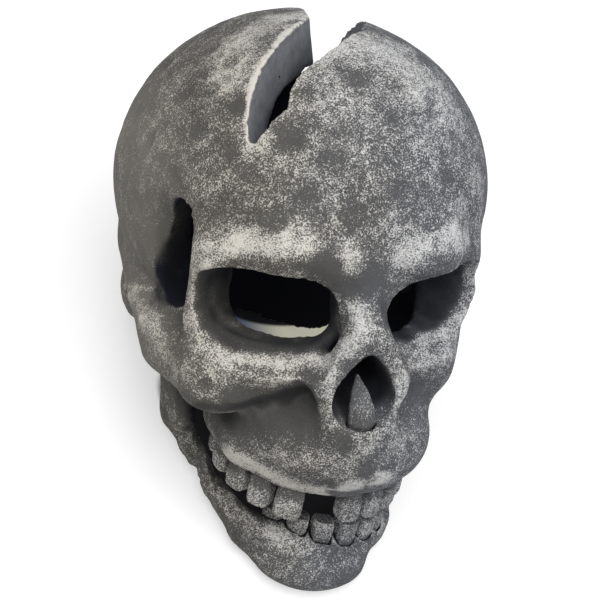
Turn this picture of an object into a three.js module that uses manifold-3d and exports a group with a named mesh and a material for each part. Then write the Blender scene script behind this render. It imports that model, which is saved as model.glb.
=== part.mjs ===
// A hollow cast skull that stands on its chin and the back of its base, with a hinged jaw.
// The shapes are laid out in the head's own frame in millimetres: X to the skull's left,
// Y to the back, Z up, with the ear line near Y 0, Z 0. The last step tips the whole head
// back until its two flats lie on the ground.

import * as THREE from 'three';
import { MarchingCubes } from 'three/addons/objects/MarchingCubes.js';
import { mergeVertices } from 'three/addons/utils/BufferGeometryUtils.js';
import Module from 'manifold-3d';

// Driving dimensions in millimetres and degrees
const lookUp = 30;               // how far the face looks up when the skull stands
const floorLevel = - 64;         // height of the ground below the ear line, in the tipped frame

const braincase = { halfWidth: 71.5, halfLength: 75, back: 80, top: 107.5, centreZ: 40,
	shift: 1.3, lean: 0.035 };
const forehead = { halfWidth: 63, halfLength: 56, reach: 87, raised: 3, lower: 5 };
const wall = 17;                 // cast wall of the braincase

const brow = { reach: 89, height: 40, thick: 17 };
const cheek = { halfWidth: 53, drop: 25, thick: 13, shift: - 4.2 };
const rimShift = - 1.5;          // the outer rims of the orbits sit this far off the middle
const archReach = 67;            // half width over the cheek arches

const orbit = { centreX: 29.5, centreY: - 72, centreZ: 17.5, halfWidth: 23, halfHeight: 15 };
const orbitTurn = 24;            // the orbits face outward by this angle
const orbitBevel = 6.5;          // width of the sloping rim round each orbit

const nose = { top: 7, floor: - 18.5, halfWidth: 11.5, reach: 96, rim: 5 };
const blade = { height: 14.5, width: 11, depth: 8, seat: 5 };

const temple = { x: 57, topY: - 52.5, topZ: 47, lowY: - 34, lowZ: 3, width: 22.5 };
const baseHole = { centreY: 11.5, halfWidth: 32, halfLength: 44 };

const crackWidth = 19;           // width of the crack at the crown

// The teeth stand on half an ellipse, which leans down to the skull's left. Their crowns
// shorten steadily from the front tooth to the last one, whose crown is the rear crown.
const upperArch = { halfWidth: 35.8, depth: 34.5, backY: - 44, shift: 3.2, lean: 0.11, rearCrown: 4 };
const lipZ = - 60;               // lower edge of the upper lip
const lipOver = 4.5;               // the lip stands this far outside the tooth centres
const lowerArch = { halfWidth: 29, depth: 30, backY: - 35, shift: 9, lean: 0.16, rearCrown: 6 };

const toothSeat = 8.5;           // depth of each tooth root in its socket
const upperCrown = 11.5;         // upper teeth below the lip
const leftCrown = 9.5;           // those of the skull's left, which are worn shorter
const lowerCrown = 7.6;          // lower teeth above the jaw
const toothThick = 9.5;
const toothGap = 0.5;            // between neighbouring teeth
const seatGap = 0.3;             // round each root, the blade and the pins

const jawPin = { y: 2, z: - 20, diameter: 6, headDiameter: 11, headThick: 2.6, grip: 10 };
const washer = { diameter: 14, thick: 1.2 };
const ramus = { inner: 41.5, thick: 8.5, depth: 19 };
const jaw = { reach: 69, lip: - 90, height: 22, thick: 14, shift: 7, lean: 0.18 };

const wasm = await Module();
wasm.setup();

// Distance fields: negative inside, in millimetres

const mix = THREE.MathUtils.lerp;

function ellipsoid( p, centre, radius ) {

	const x = ( p.x - centre[ 0 ] ) / radius[ 0 ];
	const y = ( p.y - centre[ 1 ] ) / radius[ 1 ];
	const z = ( p.z - centre[ 2 ] ) / radius[ 2 ];
	const near = Math.hypot( x, y, z );
	const slope = Math.hypot( x / radius[ 0 ], y / radius[ 1 ], z / radius[ 2 ] );
	return near * ( near - 1 ) / Math.max( slope, 1e-6 );

}

// A bar from one point to the next, with a radius at each end
function bar( p, from, to, radiusFrom, radiusTo = radiusFrom ) {

	const along = [ 0, 1, 2 ].map( i => to[ i ] - from[ i ] );
	const x = p.x - from[ 0 ];
	const y = p.y - from[ 1 ];
	const z = p.z - from[ 2 ];
	const length = along[ 0 ] ** 2 + along[ 1 ] ** 2 + along[ 2 ] ** 2;
	const reached = x * along[ 0 ] + y * along[ 1 ] + z * along[ 2 ];
	const t = THREE.MathUtils.clamp( reached / length, 0, 1 );
	const off = Math.hypot( x - t * along[ 0 ], y - t * along[ 1 ], z - t * along[ 2 ] );
	return off - mix( radiusFrom, radiusTo, t );

}

function rod( p, points, radii ) {

	let nearest = Infinity;
	for ( let i = 1; i < points.length; i ++ ) {

		nearest = Math.min( nearest, bar( p, points[ i - 1 ], points[ i ], radii[ i - 1 ], radii[ i ] ) );

	}

	return nearest;

}

function join( a, b, soft ) {

	const h = Math.max( soft - Math.abs( a - b ), 0 ) / soft;
	return Math.min( a, b ) - h * h * soft / 4;

}

function carve( a, b, soft ) {

	return - join( - a, b, soft );

}

const mirrored = ( p, shift = 0 ) => ( { x: Math.abs( p.x - shift ), y: p.y, z: p.z } );

// The mouth leans about a height: its left side hangs lower and it sits a little off the middle
const leaning = ( p, row, level, share = 1 ) => {

	const x = p.x - ( row.shift + row.lean * ( p.z - level ) ) * share;
	return { x: Math.abs( x ), y: p.y, z: p.z + row.lean * share * x };

};

// The braincase is a round back and a narrower forehead, and its hollow the same shape inset
function caseSkin( point, inset ) {

	const p = mirrored( point, braincase.shift + braincase.lean * ( point.z - braincase.centreZ ) );
	const rise = braincase.top - braincase.centreZ - inset;
	return join(
		ellipsoid( p, [ 0, braincase.back - braincase.halfLength, braincase.centreZ ],
			[ braincase.halfWidth - inset, braincase.halfLength - inset, rise ] ),
		ellipsoid( p, [ 0, forehead.halfLength - forehead.reach, braincase.centreZ + forehead.raised ],
			[ forehead.halfWidth - inset, forehead.halfLength - inset, rise - forehead.lower ] ),
		16 );

}

// The outside of the skull without its jaw, before any opening is cut
function craniumSkin( point ) {

	const p = mirrored( point );
	let d = caseSkin( point, 0 );
	d = join( d, ellipsoid( p, [ 0, 36, - 14 ], [ 46, 40, 36 ] ), 16 );
	d = join( d, ellipsoid( p, [ 50, 30, - 16 ], [ 12, 13, 18 ] ), 12 );

	const f = mirrored( point, cheek.shift );
	const side = mirrored( point, rimShift );
	const browRadius = brow.thick / 2;
	d = join( d, rod( p, [
		[ 0, - brow.reach + browRadius + 1, brow.height - 2 ],
		[ 26, - brow.reach + browRadius + 1, brow.height ]
	], [ browRadius - 1, browRadius ] ), 9 );
	d = join( d, rod( f, [
		[ 26, - brow.reach + browRadius + 1, brow.height ],
		[ 46.5, - 67, brow.height - 5 ]
	], [ browRadius, browRadius - 1 ] ), 8 );
	d = join( d, rod( side, [
		[ 47, - 65, brow.height - 9 ],
		[ 52.5, - 61, brow.height - 22 ],
		[ 50.5, - 61, 4 ],
		[ 45.5, - 62, - cheek.drop / 2 + 7 ]
	], [ 6.5, 6, 6, 6.5 ] ), 7 );

	const cheekZ = - 2 - cheek.drop / 2;
	d = join( d, ellipsoid( f, [ cheek.halfWidth - 15, - 63, cheekZ ],
		[ 17, cheek.thick, cheek.drop / 2 + 1 ] ), 8 );
	d = join( d, rod( f, [
		[ 44, - 64, - 5 ],
		[ 28, - 75, - 7 ],
		[ 14, - 84, 1 ]
	], [ 7, 7, 6 ] ), 7 );
	d = join( d, rod( p, [
		[ cheek.halfWidth - 3, - 52, - 10 ],
		[ archReach - 7, - 32, - 7 ],
		[ archReach - 6, - 10, - 4 ],
		[ archReach - 9, 14, - 3 ],
		[ archReach - 9, 28, 8 ]
	], [ 7.5, 7, 6, 6, 7 ] ), 8 );
	d = join( d, rod( p, [
		[ cheek.halfWidth - 4, - 54, - 20 ],
		[ archReach - 8, - 32, - 18 ],
		[ archReach - 9, - 8, - 14 ]
	], [ 7, 6.5, 5 ] ), 6 );

	d = join( d, rod( p, [
		[ 0, - 78, 30 ],
		[ 0, - nose.reach + 8, nose.top + 6 ]
	], [ 7, 6.5 ] ), 9 );
	d = join( d, rod( p, [
		[ 3, - nose.reach + nose.rim, nose.top + 4 ],
		[ nose.halfWidth + 3, - nose.reach + nose.rim, - 5 ],
		[ nose.halfWidth + 1, - nose.reach + nose.rim - 1, nose.floor ],
		[ 0, - nose.reach + nose.rim - 5, nose.floor - 4 ]
	], [ nose.rim, nose.rim, nose.rim, nose.rim ] ), 7 );

	// The muzzle: a tall band that follows the tooth arch, and the body behind the nose
	const m = leaning( point, upperArch, lipZ + 14 );
	const wide = upperArch.halfWidth + lipOver;
	const front = upperArch.backY - upperArch.depth - lipOver;
	d = join( d, rod( m, [
		[ wide - 9, upperArch.backY + 6, lipZ + 14 ],
		[ wide - 12, upperArch.backY - 12, lipZ + 13 ],
		[ wide * 0.42, front + 16, lipZ + 12 ],
		[ 0, front + 13, lipZ + 11 ]
	], [ 13, 14, 14, 14 ] ), 8 );
	d = join( d, ellipsoid( m, [ 0, - nose.reach + 30, lipZ + 26 ], [ wide - 4, 34, 24 ] ), 9 );
	d = join( d, ellipsoid( p, [ 0, - 27, - 12 ], [ 43, 35, 24 ] ), 12 );
	d = join( d, ellipsoid( p, [ 16, - 68, - 6 ], [ 29, 15, 12 ] ), 6 );

	// Hollows under the cheeks and in the temples, the palate and the throat
	d = carve( d, ellipsoid( p, [ 29, - 93, - 19 ], [ 13, 12, 9 ] ), 9 );
	d = carve( d, ellipsoid( p, [ archReach, - 44, 26 ], [ 15, 15, 20 ] ), 10 );
	d = carve( d, ellipsoid( m, [ 0, upperArch.backY, lipZ - 4 ],
		[ upperArch.halfWidth - 8, upperArch.depth - 8, 20 ] ), 5 );
	d = carve( d, ellipsoid( p, [ 0, - 8, - 62 ], [ 38, 36, 34 ] ), 8 );
	const behind = THREE.MathUtils.smoothstep( p.y, - 30, - 10 ) * 40;
	return carve( d, m.z - lipZ + behind, 4 );

}

function jawSkin( point ) {

	const ahead = THREE.MathUtils.smoothstep( - point.y, 5, 50 );
	const { lip, reach } = jaw;
	const p = leaning( point, jaw, lip + 10, ahead );
	const squash = jaw.thick / jaw.height;
	const q = { x: p.x, y: p.y, z: p.z * squash };
	const r = jaw.thick / 2;

	// From the chin, at share 0, back to the ramus, at share 1
	const back = share => mix( 7 - reach, jawPin.y - 13, share );
	let d = rod( q, [
		[ 0, back( 0 ), ( lip - 9 ) * squash ],
		[ 17, back( 0.06 ), ( lip - 7 ) * squash ],
		[ 29.8, back( 0.235 ), ( lip - 5.5 ) * squash ],
		[ 37, back( 0.53 ), ( lip + 3.8 ) * squash ],
		[ 42.8, back( 0.84 ), ( lip + 22 ) * squash ],
		[ ramus.inner + 4.5, back( 1 ), ( lip + 36 ) * squash ]
	], [ r, r + 0.5, r - 2, r - 3.3, r - 2.8, r - 2.5 ] );
	d = join( d, ellipsoid( p, [ 0, back( 0 ) - 3, lip - 10 ], [ 21.5, 12, 11 ] ), 8 );
	d = join( d, rod( p, [
		[ 0, back( 0 ) - 3, lip - 3 ],
		[ 19, back( 0 ), lip ],
		[ 30, back( 0.13 ), lip - 0.5 ],
		[ 36, back( 0.28 ), lip + 1.5 ],
		[ 39.5, back( 0.47 ), lip + 5.5 ]
	], [ 4, 4.5, 4, 3.5, 3.2 ] ), 5 );
	return d;

}

// The rising branch of the jaw: a plate with a round head on the pin's axis
function ramusSkin( point ) {

	const x = Math.abs( point.x ) - ramus.inner - ramus.thick / 2;
	const p = { x: 0, y: point.y, z: point.z };
	const half = ramus.depth / 2;
	const outline = join( rod( p, [
		[ 0, jawPin.y, jawPin.z ],
		[ 0, - 3, jawPin.z - 18 ],
		[ 0, - 13, jawPin.z - 31 ]
	], [ half - 0.5, half - 0.5, half ] ),
	join( bar( p, [ 0, - 22, - 24 ], [ 0, - 18, - 44 ], 5, 9 ),
		bar( p, [ 0, - 28, - 39 ], [ 0, - 26, - 47 ], 9, 10 ), 4 ), 6 );
	return carve( outline, - Math.abs( x ) + ramus.thick / 2, 2.5 );

}

function mandibleSkin( point ) {

	return join( jawSkin( point ), ramusSkin( point ), 6 );

}

// Surfaces of the fields

function slopeAt( field, p ) {

	const step = 0.4;
	const at = ( x, y, z ) => field( { x: p.x + x, y: p.y + y, z: p.z + z } );
	return new THREE.Vector3(
		at( step, 0, 0 ) - at( - step, 0, 0 ),
		at( 0, step, 0 ) - at( 0, - step, 0 ),
		at( 0, 0, step ) - at( 0, 0, - step )
	).divideScalar( 2 * step );

}

// Slides every vertex to the middle of its neighbours, then back onto the field's surface
function relax( geometry, field, rounds ) {

	const place = geometry.attributes.position;
	const index = geometry.index.array;
	const points = Array.from( { length: place.count },
		( _, i ) => new THREE.Vector3().fromBufferAttribute( place, i ) );
	for ( let round = 0; round < rounds; round ++ ) {

		const sums = points.map( () => new THREE.Vector3() );
		const counts = points.map( () => 0 );
		for ( let i = 0; i < index.length; i ++ ) {

			const next = index[ i % 3 === 2 ? i - 2 : i + 1 ];
			sums[ index[ i ] ].add( points[ next ] );
			counts[ index[ i ] ] ++;

		}

		points.forEach( ( point, i ) => {

			point.lerp( sums[ i ].divideScalar( counts[ i ] ), 0.5 );
			const slope = slopeAt( field, point );
			const step = field( point ) / Math.max( slope.lengthSq(), 0.2 );
			point.addScaledVector( slope, - THREE.MathUtils.clamp( step, - 1.5, 1.5 ) );

		} );

	}

	points.forEach( ( point, i ) => place.setXYZ( i, point.x, point.y, point.z ) );
	return geometry;

}

// How a grid's lines crowd along an axis, for a share from 0, even, to 1
const towardsLow = share => s => ( 1 - share ) * s + share * s * s;
const towardsMiddle = share => s => {

	const u = 2 * s - 1;
	return ( 1 + ( 1 - share ) * u + share * u ** 3 ) / 2;

};

// The closed surface of a field inside a box, with a number of cells along each axis
function surfaceOf( field, low, high, cells, crowd ) {

	const samples = Math.max( ...cells ) + 3;
	const grid = new MarchingCubes( samples, new THREE.MeshStandardMaterial(), false, false, 60000 );
	grid.isolation = 0;
	const spread = ( unit, axis ) => {

		const s = ( ( unit + 1 ) / 2 * samples - 1 ) / cells[ axis ];
		return mix( low[ axis ], high[ axis ], crowd[ axis ]( s ) );

	};

	const line = [ 0, 1, 2 ].map( axis => Array.from( { length: samples },
		( _, i ) => spread( i / samples * 2 - 1, axis ) ) );
	const clear = 0.1 * ( high[ 0 ] - low[ 0 ] ) / cells[ 0 ];
	for ( let at = 0; at < samples ** 3; at ++ ) {

		const x = line[ 0 ][ at % samples ];
		const y = line[ 1 ][ Math.floor( at / samples ) % samples ];
		const z = line[ 2 ][ Math.floor( at / samples ** 2 ) ];
		const distance = field( { x, y, z } );
		grid.field[ at ] = distance > 0 ? - Math.max( distance, clear ) : Math.max( - distance, clear );

	}

	grid.update();
	const geometry = new THREE.BufferGeometry();
	const flat = grid.positionArray.slice( 0, grid.count * 3 );
	geometry.setAttribute( 'position', new THREE.BufferAttribute( flat, 3 ) );
	const merged = mergeVertices( geometry, 1e-4 );
	const place = merged.attributes.position;
	for ( let i = 0; i < place.count; i ++ ) {

		place.setXYZ( i, spread( place.getX( i ), 0 ), spread( place.getY( i ), 1 ), spread( place.getZ( i ), 2 ) );

	}

	return relax( merged, field, 6 );

}

// A closed solid through copies of one outline: each level places the outline's points
function lofted( shape, levels ) {

	const outline = THREE.ShapeUtils.isClockWise( shape ) ? shape.slice().reverse() : shape;
	const count = outline.length;
	const points = levels.flatMap( level => outline.map( level ) );
	const faces = [];
	const last = ( levels.length - 1 ) * count;
	for ( let a = 0; a < last; a ++ ) {

		const b = a - a % count + ( a + 1 ) % count;
		faces.push( a, b, b + count, a, b + count, a + count );

	}

	for ( const [ a, b, c ] of THREE.ShapeUtils.triangulateShape( outline, [] ) ) {

		faces.push( a, c, b, last + a, last + b, last + c );

	}

	const geometry = new THREE.BufferGeometry().setFromPoints( points );
	geometry.setIndex( faces );
	return geometry;

}

function volumeOf( points, faces ) {

	let sum = 0;
	for ( let i = 0; i < faces.length; i += 3 ) {

		const [ a, b, c ] = [ 0, 1, 2 ].map( k => new THREE.Vector3().fromArray( points, faces[ i + k ] * 3 ) );
		sum += a.dot( b.cross( c ) ) / 6;

	}

	return sum;

}

// Solids to cut and join

function solid( geometry ) {

	geometry.deleteAttribute( 'normal' );
	geometry.deleteAttribute( 'uv' );
	const shape = mergeVertices( geometry, 1e-4 );
	const points = new Float32Array( shape.attributes.position.array );
	let faces = Array.from( shape.index.array );
	const real = [];
	for ( let i = 0; i < faces.length; i += 3 ) {

		const [ a, b, c ] = faces.slice( i, i + 3 );
		if ( a !== b && b !== c && c !== a ) real.push( a, b, c );

	}

	faces = volumeOf( points, real ) < 0 ? real.reverse() : real;
	return new wasm.Manifold( new wasm.Mesh( {
		numProp: 3, vertProperties: points, triVerts: new Uint32Array( faces )
	} ) );

}

function ellipse( halfWidth, halfHeight, count, power = 2 ) {

	return Array.from( { length: count }, ( _, i ) => {

		const angle = ( i + 0.5 ) / count * Math.PI * 2;
		const bend = value => Math.sign( value ) * Math.abs( value ) ** ( 2 / power );
		return new THREE.Vector2( halfWidth * bend( Math.cos( angle ) ), halfHeight * bend( Math.sin( angle ) ) );

	} );

}

function block( from, to ) {

	const size = to.map( ( value, i ) => value - from[ i ] );
	const centre = to.map( ( value, i ) => ( value + from[ i ] ) / 2 );
	return solid( new THREE.BoxGeometry( ...size ).translate( ...centre ) );

}

function axle( diameter, from, to, y, z, sides = 24 ) {

	const rod = new THREE.CylinderGeometry( diameter / 2, diameter / 2, to - from, sides );
	return solid( rod.rotateZ( Math.PI / 2 ).translate( ( from + to ) / 2, y, z ) );

}

// The hollow of the braincase follows its outside at the depth of the wall
function hollow() {

	const field = p => join( caseSkin( p, wall ), ellipsoid( p, [ 0, - 36, 5 ], [ 42, 36, 25 ] ), 8 );
	const shape = new THREE.SphereGeometry( 1, 26, 16 );
	const place = shape.attributes.position;
	const centre = new THREE.Vector3( 0, - 20, 20 );
	for ( let i = 0; i < place.count; i ++ ) {

		const ray = new THREE.Vector3().fromBufferAttribute( place, i );
		let near = 0;
		let far = 2 * braincase.back;
		for ( let step = 0; step < 30; step ++ ) {

			const middle = ( near + far ) / 2;
			const inside = field( centre.clone().addScaledVector( ray, middle ) ) < 0;
			near = inside ? middle : near;
			far = inside ? far : middle;

		}

		const point = centre.clone().addScaledVector( ray, near );
		place.setXYZ( i, point.x, point.y, point.z );

	}

	return solid( shape );

}

// Each orbit narrows from its bevelled rim and runs through into the hollow
function orbitOpening( side ) {

	const turn = THREE.MathUtils.degToRad( orbitTurn );
	const outline = ellipse( 1, 1, 28, 2.6 );
	const level = ( out, bevel, pinch = 0 ) => point => {

		const outer = orbit.halfWidth + bevel - pinch;
		const inner = orbit.halfWidth + bevel * 0.2;
		const across = point.x * ( point.x > 0 ? outer : inner );
		const aside = out * ( out < 0 ? 0.4 : 1 );
		return new THREE.Vector3(
			side * ( orbit.centreX + across * Math.cos( turn ) + aside * Math.sin( turn ) ),
			orbit.centreY + across * Math.sin( turn ) - out * Math.cos( turn ),
			orbit.centreZ + point.y * ( orbit.halfHeight + bevel * 0.5 ) - bevel * 0.42 + across * 0.06
		);

	};

	return solid( lofted( outline, [
		level( 24, orbitBevel * 2.4 ), level( 8, orbitBevel ), level( 0, 0 ),
		level( - 22, 0, 12 ), level( - 38, 0, 18 )
	] ) );

}

// A pear-shaped opening whose passage runs back into the hollow
function noseOpening() {

	const tall = nose.top - nose.floor;
	const wide = nose.halfWidth;
	const widest = nose.floor + tall * 0.3;
	const waist = nose.floor + tall * 0.55;
	const shape = new THREE.Shape();
	shape.moveTo( 0, nose.top );
	shape.bezierCurveTo( wide * 0.45, nose.top - 2, wide, waist, wide, widest );
	shape.quadraticCurveTo( wide * 0.85, nose.floor, wide * 0.45, nose.floor );
	shape.lineTo( - wide * 0.45, nose.floor );
	shape.quadraticCurveTo( - wide * 0.85, nose.floor, - wide, widest );
	shape.bezierCurveTo( - wide, waist, - wide * 0.45, nose.top - 2, 0, nose.top );
	const outline = shape.extractPoints( 7 ).shape.slice( 0, - 1 );
	const middle = ( nose.top + nose.floor ) / 2;
	const level = ( y, grow, rise ) => point =>
		new THREE.Vector3( point.x * grow, y, middle + ( point.y - middle ) * grow + rise );
	return solid( lofted( outline, [
		level( - nose.reach - 22, 1.25, 0 ), level( - nose.reach + 4, 1, 0 ), level( - 52, 0.7, 4 )
	] ) );

}

function templeSlot( side ) {

	const top = new THREE.Vector3( 0, temple.topY, temple.topZ );
	const low = new THREE.Vector3( 0, temple.lowY, temple.lowZ );
	const tall = top.distanceTo( low ) / 2;
	const lean = Math.atan2( top.y - low.y, top.z - low.z );
	const middle = top.clone().add( low ).multiplyScalar( 0.5 );
	const outline = ellipse( temple.width / 2, tall, 20, 2.6 );
	const level = ( x, forward ) => point => new THREE.Vector3( side * x,
		middle.y + point.x * Math.cos( lean ) + point.y * Math.sin( lean ) + forward,
		middle.z + point.y * Math.cos( lean ) - point.x * Math.sin( lean ) );
	return solid( lofted( outline, [ level( temple.x + 24, 8 ), level( temple.x, 0 ), level( 24, 20 ) ] ) );

}

// The crack is a wedge from the forehead to the crown. Its walls lean to one point deep in
// the head, so that they stand square to the wall they cut.
function crackWedge() {

	const apex = new THREE.Vector3( 14, - 10, 30 );
	const tip = [ - 41, - 65.5, 71 ];
	const left = [
		[ - 40.7, - 60, 78.6 ], [ - 39.6, - 56.5, 82.8 ], [ - 37, - 51.6, 88.6 ], [ - 32, - 45, 95 ],
		[ - 26, - 39, 100 ], [ - 18, - 31, 104 ], [ - 6, - 17, 108 ], [ 1, 8, 108 ], [ 6, 34, 103 ],
		[ 17, 58, 88 ]
	];
	const right = [
		[ - 34.6, - 64.4, 80.5 ], [ - 29, - 64, 85.6 ], [ - 27, - 59.5, 90.6 ], [ - 22, - 55.5, 95.6 ],
		[ - 15, - 52, 99.7 ], [ - 6, - 46.5, 103.5 ], [ 7, - 34, 106 ], [ 20, - 8, 106 ], [ 29, 22, 103 ],
		[ 33, 50, 88 ]
	];
	const end = [ 27, 74, 55 ];
	const drawnWidth = 19;
	const share = crackWidth / drawnWidth;
	const moved = right.map( ( point, i ) => point.map( ( value, k ) => mix( left[ i ][ k ], value, share ) ) );
	const rim = [ tip, ...moved, end, ...left.slice().reverse() ];
	const outline = rim.map( ( [ x, y, z ] ) => Object.assign( new THREE.Vector2( x, y ), { z } ) );
	const level = reach => point => apex.clone().lerp( new THREE.Vector3( point.x, point.y, point.z ), reach );
	return solid( lofted( outline, [ level( 1.35 ), level( 0.45 ) ] ) );

}

// Teeth: widths from the middle of each row outward
const cheekTeeth = { premolar: 10.5, molar_1: 11, molar_2: 11 };
const upperRow = [
	{ side: 'right', crown: upperCrown,
		teeth: { '': 12, lateral_incisor: 12, canine: 10.5, ...cheekTeeth } },
	{ side: 'left', crown: leftCrown,
		teeth: { central_incisor: 9.6, lateral_incisor: 9.6, canine: 10, ...cheekTeeth } }
];
const lowerRow = [
	{ side: 'right', teeth: { central_incisor: 9.8, lateral_incisor: 9.8, canine: 9.8 } },
	{ side: 'left', teeth: { central_incisor: 9.4, lateral_incisor: 9.4, canine: 9.4 } }
];

// Walks a row's half ellipse from the middle and stands each tooth at its place
function standTeeth( row, arch ) {

	const front = arch.backY - arch.depth;
	const point = angle => new THREE.Vector2( arch.halfWidth * Math.sin( angle ),
		arch.backY - arch.depth * Math.cos( angle ) );
	const stood = [];
	for ( const { side, crown, teeth } of row ) {

		let angle = 0;
		const walk = distance => {

			let left = distance;
			while ( left > 0 ) {

				const step = 0.01;
				left -= point( angle ).distanceTo( point( angle + step ) );
				angle += step;

			}

		};

		for ( const [ name, width ] of Object.entries( teeth ) ) {

			walk( width / 2 );
			const sign = side === 'left' ? 1 : - 1;
			const here = point( angle );
			const slope = Math.atan2( arch.depth * Math.sin( angle ), arch.halfWidth * Math.cos( angle ) );
			stood.push( { name, side, crown, width, x: sign * here.x, y: here.y, turn: sign * slope } );
			walk( width / 2 );

		}

	}

	const rear = Math.max( ...stood.map( tooth => tooth.y ) );
	return stood.map( tooth => ( { ...tooth, along: ( tooth.y - front ) / ( rear - front ) } ) );

}

function toothShape( tooth, arch, root, tip, grow = 0 ) {

	const outline = ellipse( ( tooth.width - toothGap ) / 2, toothThick / 2, 10, 3.8 );
	const out = Math.sign( tip - root );
	const gum = root + out * toothSeat;
	const level = ( z, share ) => point => {

		const x = point.x * share + Math.sign( point.x ) * grow;
		const y = point.y * share + Math.sign( point.y ) * grow;
		const across = tooth.x + x * Math.cos( tooth.turn ) - y * Math.sin( tooth.turn );
		return new THREE.Vector3( across + arch.shift + arch.lean * ( z - gum ),
			tooth.y + x * Math.sin( tooth.turn ) + y * Math.cos( tooth.turn ), z - arch.lean * across );

	};

	const end = mix( tip, gum + out * arch.rearCrown, tooth.along );
	return lofted( outline, [
		level( root - out * grow, 0.74 ), level( gum, 0.94 ), level( mix( gum, end, 0.3 ), 0.99 ),
		level( mix( gum, end, 0.8 ), 0.97 ), level( end, 0.84 )
	] );

}

const upperRoot = lipZ + toothSeat;
const upperTip = tooth => lipZ - tooth.crown;
const lowerGum = jaw.lip + 2;
const lowerRoot = lowerGum - toothSeat;
const lowerTip = lowerGum + lowerCrown;
const upperTeeth = standTeeth( upperRow, upperArch );
const lowerTeeth = standTeeth( lowerRow, lowerArch );

// The leaf-shaped blade in the nose stands in a slot in the nasal floor
function bladeShape( grow = 0 ) {

	const outline = ellipse( 1, 1, 10, 1.6 );
	const foot = nose.floor - blade.seat;
	const level = ( z, share, back ) => point => new THREE.Vector3(
		point.x * ( blade.width / 2 * share + grow ),
		- nose.reach + 1 + back + point.y * ( blade.depth / 2 * share + grow ), z );
	return lofted( outline, [
		level( foot - grow, 0.85, 1 ), level( nose.floor, 1, 0 ),
		level( mix( nose.floor, nose.floor + blade.height, 0.35 ), 0.95, 1.5 ),
		level( mix( nose.floor, nose.floor + blade.height, 0.7 ), 0.6, 5 ),
		level( nose.floor + blade.height, 0.12, 9 )
	] );

}

// The ground under the standing skull, as a block in the head's own frame
function ground() {

	const deep = 60;
	const wide = 4 * braincase.halfWidth;
	const long = 5 * braincase.back;
	const slab = new THREE.BoxGeometry( wide, long, deep ).translate( 0, 0, floorLevel - deep / 2 );
	return solid( slab.rotateX( THREE.MathUtils.degToRad( lookUp ) ) );

}

// Finishes
const stone = { color: 0x6f6f70, roughness: 0.9, metalness: 0 };
const bone = { color: 0x97928a, roughness: 0.85, metalness: 0 };
const steel = { color: 0x8b8d90, roughness: 0.4, metalness: 1 };

const head = new THREE.Group();
head.rotation.x = - THREE.MathUtils.degToRad( lookUp );
head.position.z = - floorLevel;

function add( name, shape, look ) {

	const mesh = shape.getMesh();
	const geometry = new THREE.BufferGeometry();
	const points = new Float32Array( mesh.vertProperties );
	geometry.setAttribute( 'position', new THREE.BufferAttribute( points, 3 ) );
	geometry.setIndex( new THREE.BufferAttribute( new Uint32Array( mesh.triVerts ), 1 ) );
	geometry.computeVertexNormals();
	const piece = new THREE.Mesh( geometry, new THREE.MeshStandardMaterial( look ) );
	piece.name = name;
	head.add( piece );

}

// The cast shell
let cranium = solid( surfaceOf( craniumSkin,
	[ - braincase.halfWidth - 4.5, - nose.reach - 12, lipZ - 8 ],
	[ braincase.halfWidth + 6.5, braincase.back + 4, braincase.top + 4.5 ],
	[ 30, 25, 27 ], [ towardsMiddle( 0.3 ), towardsLow( 0.65 ), towardsLow( 0.5 ) ] ) );
cranium = cranium.subtract( hollow() );
cranium = cranium.subtract( noseOpening() );
for ( const side of [ - 1, 1 ] ) {

	cranium = cranium.subtract( orbitOpening( side ) );
	cranium = cranium.subtract( templeSlot( side ) );

}

cranium = cranium.subtract( solid( lofted( ellipse( baseHole.halfWidth, baseHole.halfLength, 28 ), [ - 90, 6 ]
	.map( z => point => new THREE.Vector3( point.x, point.y + baseHole.centreY, z ) ) ) ) );
cranium = cranium.subtract( crackWedge() );
for ( const tooth of upperTeeth ) {

	cranium = cranium.subtract( solid( toothShape( tooth, upperArch, upperRoot, upperTip( tooth ), seatGap ) ) );

}

cranium = cranium.subtract( solid( bladeShape( seatGap ) ) );

const jawSide = ramus.inner + ramus.thick + 6;
let mandible = solid( surfaceOf( mandibleSkin,
	[ - jawSide, - jaw.reach - 13, jaw.lip - 28 ], [ jawSide, jawPin.y + 14, jawPin.z + 14 ],
	[ 27, 21, 22 ], [ towardsLow( 0 ), towardsLow( 0.3 ), towardsLow( 0 ) ] ) );
for ( const tooth of lowerTeeth ) {

	mandible = mandible.subtract( solid( toothShape( tooth, lowerArch, lowerRoot, lowerTip, seatGap ) ) );

}

for ( const side of [ - 1, 1 ] ) {

	const between = ( from, to ) => side > 0 ? [ from, to ] : [ - to, - from ];
	const outer = ramus.inner + ramus.thick + seatGap;
	const headStart = outer + washer.thick + seatGap;
	const headEnd = headStart + jawPin.headThick;
	const room = between( ramus.inner - seatGap, headEnd + 1 );
	const { y, z } = jawPin;
	cranium = cranium.subtract( block( [ room[ 0 ], y - 41, jaw.lip ], [ room[ 1 ], y + 13, z + 11 ] ) );
	const bore = jawPin.diameter + 2 * seatGap;
	const socket = between( ramus.inner - jawPin.grip - seatGap, ramus.inner );
	cranium = cranium.subtract( axle( bore, ...socket, y, z ) );
	mandible = mandible.subtract( axle( bore, ...between( ramus.inner - 2, outer + 2 ), y, z ) );

	const ring = axle( washer.diameter, ...between( outer, outer + washer.thick ), y, z )
		.subtract( axle( bore, ...between( outer - 1, outer + washer.thick + 1 ), y, z ) );
	const pin = axle( jawPin.diameter, ...between( ramus.inner - jawPin.grip, headEnd ), y, z )
		.add( axle( jawPin.headDiameter, ...between( headStart, headEnd ), y, z ) );
	const word = side > 0 ? 'left' : 'right';
	add( `jaw_washer_${ word }`, ring, steel );
	add( `jaw_pin_${ word }`, pin, steel );

}

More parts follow.
